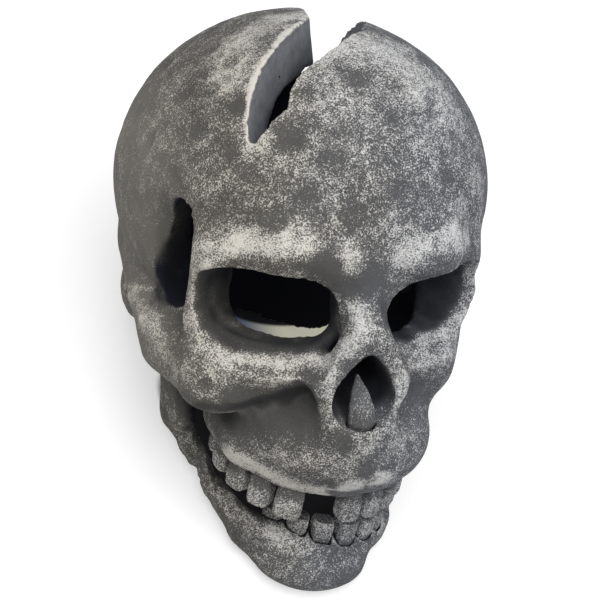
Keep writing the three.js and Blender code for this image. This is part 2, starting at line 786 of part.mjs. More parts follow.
const earth = ground();
add( 'cranium_shell', cranium.subtract( earth ), stone );
add( 'mandible', mandible.subtract( earth ), stone );
add( 'nasal_blade', solid( bladeShape() ), stone );
for ( const tooth of upperTeeth.filter( ( { name } ) => name ) ) {

	const shape = toothShape( tooth, upperArch, upperRoot, upperTip( tooth ) );
	add( `upper_${ tooth.side }_${ tooth.name }`, solid( shape ), bone );

}

for ( const tooth of lowerTeeth ) {

	const shape = toothShape( tooth, lowerArch, lowerRoot, lowerTip );
	add( `lower_${ tooth.side }_${ tooth.name }`, solid( shape ), bone );

}

const skull = new THREE.Group();
skull.add( head );

// The origin is on the ground, under the middle of the whole
const middle = new THREE.Box3().setFromObject( skull, true ).getCenter( new THREE.Vector3() );
head.position.x -= middle.x;
head.position.y -= middle.y;

export default skull;
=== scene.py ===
# A hollow cast ceramic skull with a cracked crown and a hinged jaw, dry-brushed in cream
# over slate grey. Lengths in the dictionaries are in millimetres, apart from the studio's and
# the camera's clip range, which are in metres.
import math

import bpy
import numpy as np
from mathutils import Matrix, Vector, noise
from mathutils.bvhtree import BVHTree
from mathutils.kdtree import KDTree


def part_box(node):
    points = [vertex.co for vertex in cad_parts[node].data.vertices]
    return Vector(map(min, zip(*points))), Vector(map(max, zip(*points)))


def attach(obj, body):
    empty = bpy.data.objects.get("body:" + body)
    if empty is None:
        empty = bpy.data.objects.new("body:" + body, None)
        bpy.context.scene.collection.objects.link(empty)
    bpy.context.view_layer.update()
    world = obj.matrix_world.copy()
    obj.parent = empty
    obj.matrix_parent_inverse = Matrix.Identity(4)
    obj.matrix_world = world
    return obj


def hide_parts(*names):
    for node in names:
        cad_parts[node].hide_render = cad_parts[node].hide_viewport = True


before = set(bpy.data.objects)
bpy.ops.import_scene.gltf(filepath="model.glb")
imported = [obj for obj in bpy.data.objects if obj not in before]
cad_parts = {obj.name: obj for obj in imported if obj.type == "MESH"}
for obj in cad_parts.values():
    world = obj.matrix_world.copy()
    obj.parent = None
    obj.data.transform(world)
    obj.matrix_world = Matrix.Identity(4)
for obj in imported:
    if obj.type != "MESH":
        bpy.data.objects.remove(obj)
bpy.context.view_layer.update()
mm = 0.001
farAway = 9.0  # metres, for the distance to something that isn't there
goldenAngle = math.pi * (3 - math.sqrt(5))
print("frame: loaded", len(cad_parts), "nodes")

# The skull was laid out upright and then tipped back, so places on it are given upright
standing = {"lookUp": 30, "shiftX": -1.3, "shiftY": 10.31, "lift": 64}


def tipped(points):
    # upright millimetres to standing metres
    points = np.atleast_2d(np.asarray(points, float))
    cosine = math.cos(math.radians(standing["lookUp"]))
    sine = math.sin(math.radians(standing["lookUp"]))
    x = points[:, 0] + standing["shiftX"]
    y = points[:, 1] * cosine + points[:, 2] * sine + standing["shiftY"]
    z = points[:, 2] * cosine - points[:, 1] * sine + standing["lift"]
    return np.c_[x, y, z] * mm


def upright(points):
    # standing metres to upright millimetres
    cosine = math.cos(math.radians(standing["lookUp"]))
    sine = math.sin(math.radians(standing["lookUp"]))
    points = np.atleast_2d(points) / mm
    y = points[:, 1] - standing["shiftY"]
    z = points[:, 2] - standing["lift"]
    return np.c_[points[:, 0] - standing["shiftX"], y * cosine - z * sine, y * sine + z * cosine]


# Camera, as the photograph was taken
photoCamera = {
    "target": (2, -20, -4),
    "azimuth": -22,
    "elevation": 22,
    "roll": 6.7,
    "distance": 420,
    "lens": 61.98,
    "sensor": 36,
    "picture": 600,
    "clip": (0.02, 50),
}


def cameraAxes():
    # eye, forward, right and up of the photograph's camera
    azimuth = math.radians(photoCamera["azimuth"])
    elevation = math.radians(photoCamera["elevation"])
    roll = math.radians(photoCamera["roll"])
    back = Vector((
        math.sin(azimuth) * math.cos(elevation),
        -math.cos(azimuth) * math.cos(elevation),
        math.sin(elevation),
    ))
    level = (-back).cross(Vector((0, 0, 1))).normalized()
    above = level.cross(-back)
    right = level * math.cos(roll) + above * math.sin(roll)
    up = above * math.cos(roll) - level * math.sin(roll)
    eye = Vector(photoCamera["target"]) + back * photoCamera["distance"]
    tip = Matrix.Rotation(-math.radians(standing["lookUp"]), 3, "X")
    return Vector(tipped(eye)[0]), tip @ -back, tip @ right, tip @ up


eye, forward, rightward, upward = cameraAxes()
cameraData = bpy.data.cameras.new("photoCamera")
cameraData.lens = photoCamera["lens"]
cameraData.sensor_width = photoCamera["sensor"]
cameraData.clip_start, cameraData.clip_end = photoCamera["clip"]
cameraObject = bpy.data.objects.new("photoCamera", cameraData)
bpy.context.scene.collection.objects.link(cameraObject)
turn = Matrix((rightward, upward, -forward)).transposed()
cameraObject.matrix_world = Matrix.Translation(eye) @ turn.to_4x4()
bpy.context.scene.camera = cameraObject
print("camera: placed")


def photoRay(x, y):
    # direction from the eye through a pixel of the 600 x 600 photograph
    half = photoCamera["picture"] / 2
    reach = photoCamera["lens"] / photoCamera["sensor"] * photoCamera["picture"]
    return (forward + rightward * ((x - half) / reach) + upward * ((half - y) / reach)).normalized()


# Modelling helpers
def only(piece):
    bpy.ops.object.select_all(action="DESELECT")
    piece.select_set(True)
    bpy.context.view_layer.objects.active = piece


def modify(piece, kind, **settings):
    # adds a modifier, sets it and applies it
    only(piece)
    modifier = piece.modifiers.new(kind.lower(), kind)
    for name, value in settings.items():
        setattr(modifier, name, value)
    bpy.ops.object.modifier_apply(modifier=modifier.name)


def copyOf(node, name):
    # a merged copy of a CAD node, free of its body
    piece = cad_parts[node].copy()
    piece.data = piece.data.copy()
    piece.name = name
    piece.data.name = name
    piece.parent = None
    for key in list(piece.keys()):
        del piece[key]
    piece.data.materials.clear()
    bpy.context.scene.collection.objects.link(piece)
    only(piece)
    bpy.ops.mesh.customdata_custom_splitnormals_clear()
    bpy.ops.object.mode_set(mode="EDIT")
    bpy.ops.mesh.select_all(action="SELECT")
    bpy.ops.mesh.remove_doubles(threshold=2e-6)
    bpy.ops.object.mode_set(mode="OBJECT")
    return piece


def pointsOf(piece):
    flat = np.empty(len(piece.data.vertices) * 3)
    piece.data.vertices.foreach_get("co", flat)
    return flat.reshape(-1, 3)


def normalsOf(piece):
    flat = np.empty(len(piece.data.vertices) * 3)
    piece.data.vertices.foreach_get("normal", flat)
    return flat.reshape(-1, 3)


def movePoints(piece, points):
    piece.data.vertices.foreach_set("co", points.ravel())
    piece.data.update()


def neighbours(piece):
    # the pairs of points that an edge joins
    flat = np.empty(len(piece.data.edges) * 2, int)
    piece.data.edges.foreach_get("vertices", flat)
    return flat.reshape(-1, 2)


def spread(values, edges, rounds):
    # averages a value over the surface, round by round
    count = len(values)
    ends = np.concatenate([edges[:, 0], edges[:, 1]])
    others = np.concatenate([edges[:, 1], edges[:, 0]])
    degree = np.maximum(np.bincount(ends, minlength=count), 1)
    for _ in range(rounds):
        values = 0.5 * values + 0.5 * np.bincount(ends, values[others], minlength=count) / degree
    return values


def ease(low, high, value):
    # 0 at low, 1 at high, with soft ends
    share = np.clip((value - low) / (high - low), 0, 1)
    return share * share * (3 - 2 * share)


def sharpPoints(piece, angle, step):
    # points along the edges that fold by more than the angle
    edges = neighbours(piece)
    points = pointsOf(piece)
    faces = {}
    for polygon in piece.data.polygons:
        for key in polygon.edge_keys:
            faces.setdefault(key, []).append(polygon.normal)
    found = []
    for first, last in edges:
        sides = faces.get((min(first, last), max(first, last)), [])
        if len(sides) == 2 and sides[0].angle(sides[1], 0) > math.radians(angle):
            a, b = points[first], points[last]
            count = max(2, int(np.linalg.norm(b - a) / step) + 1)
            found.append(a + (b - a) * np.linspace(0, 1, count)[:, None])
    return np.concatenate(found) if found else np.zeros((0, 3))


def distanceTo(points, targets):
    # distance from each point to the nearest target
    tree = KDTree(len(targets))
    for index, target in enumerate(targets):
        tree.insert(target, index)
    tree.balance()
    return np.array([tree.find(point)[2] for point in points])


def wobble(points, size, seed, octaves=2):
    # smooth noise from -1 to 1 whose lumps are about the size, each seed in its own part of it
    shift = Vector((seed * 7.31, seed * 3.17, seed * 5.93))
    return np.array([noise.fractal(Vector(p) / size + shift, 1, 2, octaves) for p in points])


def keep(piece, **values):
    # numbers at each vertex, for the finish
    count = len(piece.data.vertices)
    for name, value in values.items():
        attribute = piece.data.attributes.new(name, "FLOAT", "POINT")
        filled = np.broadcast_to(np.asarray(value, dtype=np.float32), count)
        attribute.data.foreach_set("value", np.ascontiguousarray(filled))


# Casting: the remeshed copy, smoothed in soft rounds away from its cut edges and a few edge
# rounds everywhere
casting = {
    "cranium": {"voxel": 0.95, "softRounds": 14, "edgeRounds": 2},
    "mandible": {"voxel": 0.8, "softRounds": 40, "edgeRounds": 2},
    "tooth": {"voxel": 0.4, "softRounds": 3, "edgeRounds": 1},
    "blade": {"voxel": 0.4, "softRounds": 9, "edgeRounds": 3},
    "smooth": 0.5,
    "sharpAngle": 42,
    "sharpStep": 0.5,
    "edgeWidth": (0.8, 3.5),
    "levels": 10,
    "most": 190000,
}


def cast(node, kind):
    # the casting of a node, and the points along its sharp edges
    own = casting[kind]
    piece = copyOf(node, node + "_cast")
    sharp = sharpPoints(piece, casting["sharpAngle"], casting["sharpStep"] * mm)
    modify(piece, "REMESH", mode="VOXEL", voxel_size=own["voxel"] * mm, adaptivity=0)
    points = pointsOf(piece)
    far = distanceTo(points, sharp) if len(sharp) else np.full(len(points), farAway)
    group = piece.vertex_groups.new(name="soft")
    low, high = casting["edgeWidth"]
    away = ease(low * mm, high * mm, far)
    levels = casting["levels"]
    for level in range(1, levels + 1):
        chosen = np.nonzero(np.round(away * levels) == level)[0]
        group.add([int(i) for i in chosen], level / levels, "REPLACE")
    smooth = casting["smooth"]
    modify(piece, "SMOOTH", factor=smooth, iterations=own["softRounds"], vertex_group="soft")
    modify(piece, "SMOOTH", factor=smooth, iterations=own["edgeRounds"])
    piece.vertex_groups.clear()
    return piece, sharp


cranium, craniumRims = cast("cranium_shell", "cranium")
print("cranium: cast", len(cranium.data.polygons), "faces")
mandible, mandibleRims = cast("mandible", "mandible")
print("mandible: cast", len(mandible.data.polygons), "faces")


def treeOf(piece):
    return BVHTree.FromObject(piece, bpy.context.evaluated_depsgraph_get())


bpy.context.view_layer.update()
craniumTree = treeOf(cranium)
mandibleTree = treeOf(mandible)


def seen(tree, pixels):
    # the surface places behind a list of the photograph's pixels
    found = []
    for x, y in pixels:
        place = tree.ray_cast(eye, photoRay(x, y))[0]
        if place is not None:
            found.append(place)
    return found


def alongPixels(line, step=4):
    # pixels every few steps along a drawn line
    dots = [line[0]]
    for start, end in zip(line, line[1:]):
        gap = math.dist(start, end)
        count = max(1, round(gap / step))
        for index in range(1, count + 1):
            share = index / count
            across = start[0] + (end[0] - start[0]) * share
            down = start[1] + (end[1] - start[1]) * share
            dots.append((across, down))
    return dots


# The corner between the eye socket and the nose is poured full: pixels of the photograph in it
corner = {"pixels": [(331, 337), (328, 344), (334, 328)], "radius": 9, "rounds": 320}

# Thumb-sized dents: those seen, with a pixel of the photograph, radius and depth, and hidden ones
# on the sides and back. Where the slope and the worn paint end is given in shares of the radius
dents = {
    "seen": [
        (186, 92, 5, 0.9), (208, 89, 5, 0.9), (198, 131, 5.5, 0.9), (148, 141, 6, 0.9),
        (230, 62, 5, 0.6), (236, 106, 4.5, 0.6), (172, 178, 5.5, 0.7), (288, 136, 8, 1.1),
        (305, 94, 5.5, 0.8), (334, 160, 6, 0.6), (274, 219, 7, 0.9), (352, 214, 6, 0.5),
        (398, 190, 6, 0.5), (396, 122, 6, 0.6), (432, 108, 6, 0.5), (446, 176, 6, 0.5),
        (246, 172, 6, 0.6), (356, 76, 6, 0.6), (308, 194, 5, 0.4), (205, 385, 3.5, 0.7),
        (410, 445, 3.5, 0.8), (290, 452, 5, 0.6),
    ],
    "hidden": {
        "tries": 90, "radius": 6, "depth": 0.8, "seed": 5, "middle": (0, 5, 40),
        "lowest": 18, "foremost": -30, "apart": 19, "sizes": (0.75, 1.15), "turn": 0.25,
        "outside": 300,
    },
    "slope": (0.15, 1.1),
    "worn": (0.45, 1.0),
}


def fillCorner():
    # smooths the casting round the corner until its pit is full
    points = pointsOf(cranium)
    places = seen(craniumTree, corner["pixels"])
    nearest = np.min([np.linalg.norm(points - np.array(place), axis=1) for place in places], axis=0)
    group = cranium.vertex_groups.new(name="corner")
    group.add([int(i) for i in np.nonzero(nearest < corner["radius"] * mm)[0]], 1, "REPLACE")
    modify(cranium, "SMOOTH", factor=casting["smooth"], iterations=corner["rounds"],
           vertex_group="corner")
    cranium.vertex_groups.clear()


def pressDents(piece, places):
    # presses the dents in, and gives how worn each vertex is by them
    points = pointsOf(piece)
    worn = np.zeros(len(points))
    deep, flat = dents["slope"]
    wornFull, wornNone = dents["worn"]
    for centre, normal, radius, depth in places:
        gap = np.linalg.norm(points - np.array(centre), axis=1)
        share = 1 - ease(radius * deep * mm, radius * flat * mm, gap)
        points -= np.outer(share * depth * mm, np.array(normal))
        worn = np.maximum(worn, 1 - ease(radius * wornFull * mm, radius * wornNone * mm, gap))
    movePoints(piece, points)
    return worn


def dentPlaces():
    # the seen dents, then those on the sides and back, in even directions
    places = []
    for x, y, radius, depth in dents["seen"]:
        place, normal = craniumTree.ray_cast(eye, photoRay(x, y))[:2]
        if place is not None:
            places.append((place, normal, radius, depth))
    hidden = dents["hidden"]
    rng = np.random.default_rng(hidden["seed"])
    middle = Vector(tipped(hidden["middle"])[0])
    for index in range(hidden["tries"]):
        height = 1 - 2 * (index + 0.5) / hidden["tries"]
        angle = index * goldenAngle + rng.uniform(-hidden["turn"], hidden["turn"])
        wide = math.sqrt(1 - height * height)
        aim = Vector((wide * math.cos(angle), wide * math.sin(angle), height))
        start = middle + aim * (hidden["outside"] * mm)
        place, normal = craniumTree.ray_cast(start, -aim)[:2]
        size = rng.uniform(*hidden["sizes"])
        if place is None:
            continue
        head = upright(np.array(place))[0]
        if head[2] < hidden["lowest"] or head[1] < hidden["foremost"]:
            continue
        if any((place - other[0]).length < hidden["apart"] * mm for other in places):
            continue
        places.append((place, normal, hidden["radius"] * size, hidden["depth"] * size))
    return places


fillCorner()
dented = dentPlaces()
craniumDents = pressDents(cranium, dented)
print("cranium: dents", len(dented))

# The skin of the mould: the size of slow and quick waves, and of chips at the rims
skin = {
    "slow": 22, "quick": 7, "quickShare": 0.35, "sink": 0.6,
    "chip": 4, "chipFrom": 0.12, "rim": (0.3, 3.2),
}


def castSkin(piece, rims, lumps, chips):
    # waves of the hand-made mould and small chips along the cut rims, and gives how near each
    # vertex is to a rim
    points = pointsOf(piece)
    normals = normalsOf(piece)
    low, high = skin["rim"]
    near = 1 - ease(low * mm, high * mm, distanceTo(points, rims))
    waves = wobble(points, skin["slow"] * mm, seed=1) * lumps
    waves = waves + wobble(points, skin["quick"] * mm, seed=2) * lumps * skin["quickShare"]
    bites = wobble(points, skin["chip"] * mm, seed=3, octaves=3) - skin["chipFrom"]
    bites = np.clip(bites, 0, 1) * near * chips
    points += normals * ((waves - lumps * skin["sink"] - bites) * mm)[:, None]
    movePoints(piece, points)
    return near


craniumNear = castSkin(cranium, craniumRims, lumps=0.28, chips=1.0)
castSkin(mandible, mandibleRims, lumps=0.25, chips=1.2)
bpy.context.view_layer.update()
skinTrees = [treeOf(cranium), treeOf(mandible)]
print("casting: waves and chips")

# Dry brush: strokes drawn over the photograph as pixel lines, with their radius in millimetres
# and the share of the surface that the cream covers
craniumStrokes = {
    "browRight": (
        [(200, 262), (212, 250), (236, 241), (262, 240), (290, 243), (312, 249)], 6, 0.46),
    "browRightHeart": ([(224, 246), (252, 243), (284, 246)], 3, 0.56),
    "browRightTop": ([(212, 236), (240, 226), (272, 226), (306, 232)], 6, 0.28),
    "rimRight": ([(196, 262), (190, 282), (190, 304), (196, 330)], 4.5, 0.46),
    "glabella": ([(350, 252), (347, 266), (356, 272)], 4.5, 0.56),
    "glabellaFan": ([(356, 246), (370, 236), (386, 228)], 6, 0.3),
    "browLeft": ([(408, 254), (426, 242), (448, 236), (466, 236)], 5.5, 0.52),
    "browLeftTop": ([(400, 236), (430, 226), (466, 220)], 7, 0.3),
    "bridge": ([(357, 302), (361, 320), (362, 338), (352, 346)], 4, 0.52),
    "bridgeSide": ([(374, 306), (376, 326), (386, 344)], 4, 0.3),
    "noseRimLeft": ([(386, 342), (398, 356), (404, 376), (402, 398)], 4, 0.34),
    "noseRimRight": ([(346, 350), (336, 364), (326, 384), (323, 404)], 4, 0.34),
    "noseRimLow": ([(322, 396), (324, 416), (326, 430)], 3.5, 0.38),
    "underRight": (
        [(222, 352), (242, 355), (270, 360), (296, 361), (320, 357), (340, 350)], 4, 0.6),
    "underRightHeart": ([(236, 354), (252, 358), (280, 362)], 2.5, 0.72),
    "underRightLow": ([(226, 370), (262, 374), (300, 374), (332, 366)], 5, 0.3),
    "cheekCorner": ([(192, 318), (198, 340), (208, 362), (222, 380)], 6, 0.38),
    "cheekLow": ([(192, 374), (202, 398), (226, 402), (254, 394)], 5, 0.3),
    "underLeft": ([(410, 348), (432, 340), (452, 328), (464, 312)], 5, 0.44),
    "cheekLeft": ([(424, 366), (440, 358), (456, 344)], 6, 0.36),
    "rimLeft": ([(470, 262), (469, 290), (463, 316)], 3, 0.4),
    "archRight": ([(128, 298), (142, 318), (158, 344), (176, 372)], 6, 0.36),
    "archLine": ([(125, 286), (144, 288), (161, 290)], 1.4, 0.5),
    "muzzleLip": ([(232, 456), (262, 472), (290, 485), (318, 491), (350, 488), (384, 478)], 5, 0.7),
    "muzzle": ([(262, 446), (290, 458), (320, 464), (354, 466)], 8, 0.34),
    "muzzleLeft": ([(384, 440), (400, 446), (414, 438)], 8, 0.3),
    "muzzleTop": ([(338, 420), (352, 438), (372, 444), (390, 434)], 5, 0.34),
    "crackLeft": ([
        (306, 16), (284, 34), (266, 58), (254, 80), (249, 104), (247, 124), (249, 144),
    ], 1.6, 0.9),
    "crackRight": ([(318, 58), (300, 71), (290, 86), (287, 104), (270, 120), (252, 140)], 3, 0.7),
    "crackFoot": ([(250, 152), (264, 136)], 4, 0.46),
    "vaultRight": ([(160, 120), (184, 84), (226, 48)], 13, 0.24),
    "vaultTop": ([(290, 14), (258, 26), (236, 44), (228, 80)], 9, 0.52),
    "vaultMiddle": ([(212, 118), (222, 150), (206, 186)], 9, 0.22),
    "topLeft": ([(338, 46), (372, 48), (408, 64), (438, 96)], 14, 0.5),
    "topLeftLow": ([(330, 96), (372, 110), (412, 130), (446, 160)], 14, 0.34),
    "foreheadRight": ([(262, 176), (290, 172), (322, 168)], 10, 0.26),
    "forehead": ([(330, 204), (372, 196), (420, 206)], 10, 0.2),
    "sideLeft": ([(470, 130), (476, 170), (476, 214)], 10, 0.32),
}
mandibleStrokes = {
    "lipRight": ([(268, 530), (284, 540), (300, 548)], 4, 0.56),
    "lip": ([(232, 494), (254, 520), (290, 545), (320, 542), (350, 534), (380, 520)], 3.2, 0.4),
    "chin": ([(256, 546), (276, 564), (300, 574)], 6, 0.2),
    "chinLeft": ([(330, 560), (352, 552), (372, 540)], 7, 0.14),
    "side": ([(196, 458), (220, 492), (244, 526)], 5, 0.2),
    "angle": ([(158, 388), (170, 412), (186, 440)], 4, 0.3),
}
# Lines that the brush missed, with the share they lose
bareStrokes = {
    "fossa": ([(238, 396), (256, 408), (284, 412), (310, 404)], 6, 0.4),
    "fossaLow": ([(236, 420), (270, 426), (300, 424)], 6, 0.16),
    "nasion": ([(328, 270), (342, 284), (358, 286), (370, 278)], 5, 0.4),
    "socketTop": ([(320, 260), (334, 266)], 3, 0.3),
    "besideNose": ([(308, 384), (312, 404)], 5, 0.3),
    "muzzleDent": ([(331, 484), (333, 492)], 2.2, 0.5),
    "muzzleDent2": ([(366, 470), (370, 480)], 3, 0.35),
    "muzzleDent3": ([(346, 432), (348, 442)], 4, 0.3),
    "behindSlot": ([(150, 240), (152, 270)], 9, 0.1),
}
# Painted shade in the recesses, which also takes cream away, drawn the same way with its depth
paintedShadeStrokes = {
    "socketRim": ([
        (207, 272), (204, 300), (212, 325), (232, 341), (262, 348), (296, 346), (316, 338),
    ], 5, 0.62),
    "socketInner": ([(316, 338), (330, 322), (334, 300)], 4.5, 0.6),
    "underBrow": ([(215, 271), (240, 265), (280, 262), (310, 266), (330, 276)], 3.5, 0.55),
    "nasion": ([(318, 270), (340, 282), (360, 286), (374, 280)], 4.5, 0.6),
    "leftSocket": ([(382, 300), (388, 322), (404, 336)], 4, 0.7),
    "leftWall": ([(440, 270), (446, 296), (430, 322)], 6, 0.5),
    "fossa": ([(200, 409), (224, 408), (247, 403), (276, 398), (306, 387)], 5, 0.85),
    "fossaLow": ([(228, 424), (262, 428), (296, 416), (312, 400)], 8, 0.55),
    "besideNose": ([(316, 392), (322, 416), (334, 436)], 3.5, 0.5),
    "muzzle": ([(286, 430), (300, 440)], 5, 0.4),
    "muzzleLow": ([(329, 484), (331, 492)], 2, 0.7),
    "muzzleMiddle": ([(340, 436), (344, 446)], 4, 0.5),
    "cheekFoot": ([(186, 396), (204, 410)], 4, 0.6),
    "besideSlot": ([(158, 232), (156, 262), (160, 290)], 6, 0.45),
    "noseRim": ([(346, 366), (340, 392), (348, 420)], 2.5, 0.5),
}
# Painted shade in the wedge under the cheek and along the jaw's rim
ramusPaintedShade = {
    "wedge": ([(172, 386), (186, 408), (200, 430), (212, 448)], 6, 0.7),
    "rim": ([(214, 470), (236, 494), (262, 520)], 2.5, 0.4),
}
# How much cream the brush leaves, and where
brush = {
    # over all, on ridges, and less in dents, under the painted shade lines, in shade and on the
    # sides
    "cranium": 0.14, "mandible": 0.09, "least": -0.4,
    "ridge": 0.2, "ridgeHeight": 0.35,
    "dents": 0.15, "shadeStrokeBare": 0.3, "shadeStrokeSky": 0.72, "shadeBare": 0.35,
    "sides": (50, 68), "sidesBare": 0.1,
    # uneven edges of the strokes, patches and clumps, with their sizes
    "strokeEdge": (0.25, 1.6), "ragged": 0.45, "raggedSize": 6,
    "patches": 0.14, "patchSize": 15, "clumps": 0.1, "clumpSize": 5,
    # a thin mist of it all over, more on the sides and under heavy strokes
    "mist": 0.045, "mistSides": 0.16, "mistHeavy": 0.14, "heavy": (0.4, 0.7),
    # rays that look for the sky, the share of it that lets the brush in, and where it is open
    "rays": 12, "reach": 90, "lift": 0.5, "reached": (0.2, 0.62),
    "middle": (0, -5, 30), "openCrown": 48, "openFacing": 0.85,
}


def nearLine(points, tree, line, radius, ragged):
    # 1 on a drawn line, easing to 0 past its radius, with a ragged edge
    nearest = np.full(len(points), farAway)
    for place in seen(tree, alongPixels(line)):
        nearest = np.minimum(nearest, np.linalg.norm(points - np.array(place), axis=1))
    full, none = brush["strokeEdge"]
    return 1 - ease(radius * full * mm, radius * none * mm, nearest + ragged * radius * mm)


def openness(points, normals, trees, known):
    # the share of the sky that each point sees, 1 where it is known to be open
    count = brush["rays"]
    order = np.arange(count)
    radius = np.sqrt((order + 0.5) / count)
    angle = order * goldenAngle
    height = np.sqrt(1 - radius ** 2)
    local = np.stack([radius * np.cos(angle), radius * np.sin(angle), height], axis=1)
    # two directions along the surface at each point
    helper = np.where(np.abs(normals[:, 2:]) < 0.9, [[0, 0, 1.0]], [[1.0, 0, 0]])
    across = np.cross(helper, normals)
    across /= np.linalg.norm(across, axis=1)[:, None] + 1e-12
    other = np.cross(normals, across)
    starts = points + normals * brush["lift"] * mm
    reach = brush["reach"] * mm
    share = np.ones(len(points))
    for index in np.nonzero(~known)[0]:
        axes = np.stack([across[index], other[index], normals[index]])
        start = Vector(starts[index])
        free = 0
        for aim in local @ axes:
            aim = Vector(aim)
            if all(tree.ray_cast(start, aim, reach)[0] is None for tree in trees):
                free += 1
        share[index] = free / count
    return share


def brushed(piece, tree, trees, strokes, bare, shadeLines, worn, base):
    # for each vertex: the cream it has caught, its thin mist, the sky it sees, cut by the painted
    # shade lines, how far it faces
    #     outward, and its upright place. Lines are found on the tree, and the sky past the trees
    points = pointsOf(piece)
    normals = normalsOf(piece)
    edges = neighbours(piece)
    head = upright(points)
    radial = head - np.array(brush["middle"])
    outward = np.einsum("ij,ij->i", normals, tipped(radial) - tipped((0, 0, 0)))
    outward = outward / (np.linalg.norm(radial, axis=1) * mm + 1e-9)
    known = (head[:, 2] > brush["openCrown"]) & (outward > brush["openFacing"])
    sky = spread(openness(points, normals, trees, known), edges, rounds=4)
    middle = np.stack([spread(points[:, k], edges, rounds=12) for k in range(3)], axis=1)
    ridge = np.einsum("ij,ij->i", points - middle, normals) / (brush["ridgeHeight"] * mm)
    ridge = np.clip(spread(ridge, edges, rounds=2), -1, 1)
    sides = ease(*brush["sides"], np.abs(head[:, 0]))
    load = np.full(len(points), base) - brush["sidesBare"] * sides
    ragged = wobble(points, brush["raggedSize"] * mm, seed=31, octaves=3) * brush["ragged"]
    for line, radius, amount in strokes.values():
        share = nearLine(points, tree, line, radius, ragged)
        load = np.maximum(load, load + (amount - load) * share)
    for line, radius, amount in bare.values():
        load = load - amount * nearLine(points, tree, line, radius, ragged)
    paintedShade = np.zeros(len(points))
    for line, radius, amount in shadeLines.values():
        paintedShade = np.maximum(paintedShade, amount * nearLine(points, tree, line, radius, ragged))
    # Painted shade: these lines cut the sky, which darkens the colour, and take cream away
    sky = sky * (1 - brush["shadeStrokeSky"] * paintedShade)
    load = load - brush["shadeStrokeBare"] * paintedShade
    load = load + brush["ridge"] * ridge
    load = load + brush["patches"] * wobble(points, brush["patchSize"] * mm, seed=8)
    load = load + brush["clumps"] * wobble(points, brush["clumpSize"] * mm, seed=9)
    reached = ease(*brush["reached"], sky)
    load = (load - brush["dents"] * worn) * reached - brush["shadeBare"] * (1 - reached)
    heavy = ease(*brush["heavy"], load)
    mist = (brush["mist"] + brush["mistSides"] * sides + brush["mistHeavy"] * heavy) * reached
    return load, mist, sky, outward, head


# The hollow and the slots behind the brows are bare, and painted dark as shade. A slot runs from
# slotTop to
# # slotLow, in y and z, and the other pairs say where a share starts and where it is full
hollow = {
    "centre": (1.3, 5, 40), "radius": (71.5, 75, 67.5), "wall": (0.93, 0.83), "face": (-58, -46),
    "slotTop": (-52.5, 47), "slotLow": (-34, 3), "slotEdge": (12, 10), "slotSide": (38, 42),
    "slotSky": (0.72, 0.5), "facingIn": (0.05, -0.3),
}
# The broken walls of the crack, which were never brushed
crack = {"facing": (0.62, 0.38), "crown": (56, 66), "rim": 0.5}


def insideShare(head):
    # 0 on the outer skin, 1 on the wall of the hollow
    share = (head - np.array(hollow["centre"])) / np.array(hollow["radius"])
    return ease(*hollow["wall"], np.linalg.norm(share, axis=1)) * ease(*hollow["face"], head[:, 1])


def slotShare(head):
    # 1 in the slots, 0 outside them
    top = np.array(hollow["slotTop"], float)
    along = np.array(hollow["slotLow"], float) - top
    place = head[:, 1:] - top
    reached = np.clip(place @ along / (along @ along), 0, 1)
    away = np.linalg.norm(place - np.outer(reached, along), axis=1)
    return ease(*hollow["slotEdge"], away) * ease(*hollow["slotSide"], np.abs(head[:, 0]))


load, mist, sky, outward, head = brushed(
    cranium, craniumTree, skinTrees[:1], strokes=craniumStrokes, bare=bareStrokes,
    shadeLines=paintedShadeStrokes, worn=craniumDents, base=brush["cranium"])
cut = ease(*crack["facing"], np.abs(outward)) * ease(*crack["crown"], head[:, 2])
cut = cut * (1 - craniumNear * crack["rim"])
facingIn = ease(*hollow["facingIn"], outward) * ease(*hollow["face"], head[:, 1])
# Painted shade on the wall of the hollow, on faces turned inward and deep in the slots
dark = np.maximum(insideShare(head), facingIn) * (1 - cut)
dark = np.maximum(dark, slotShare(head) * ease(*hollow["slotSky"], sky))
painted = (1 - cut) * (1 - dark)
keep(cranium, load=np.clip(load * painted, brush["least"], 1), sky=sky,
     mist=np.clip(mist * painted, 0, 1), cut=np.clip(cut, 0, 1), dark=np.clip(dark, 0, 1))
print("cranium: brushed")

load, mist, sky = brushed(
    mandible, mandibleTree, skinTrees[::-1], strokes=mandibleStrokes, bare={},
    shadeLines=ramusPaintedShade, worn=0, base=brush["mandible"])[:3]
keep(mandible, load=np.clip(load, brush["least"], 1), mist=np.clip(mist, 0, 1), sky=sky,
     cut=0, dark=0)
print("mandible: brushed")


def thin(piece):
    # brings a casting under the triangle limit
    triangles = 2 * len(piece.data.polygons)
    if triangles > casting["most"]:
        modify(piece, "DECIMATE", ratio=casting["most"] / triangles)


for piece in (cranium, mandible):
    thin(piece)
print("castings: thinned")

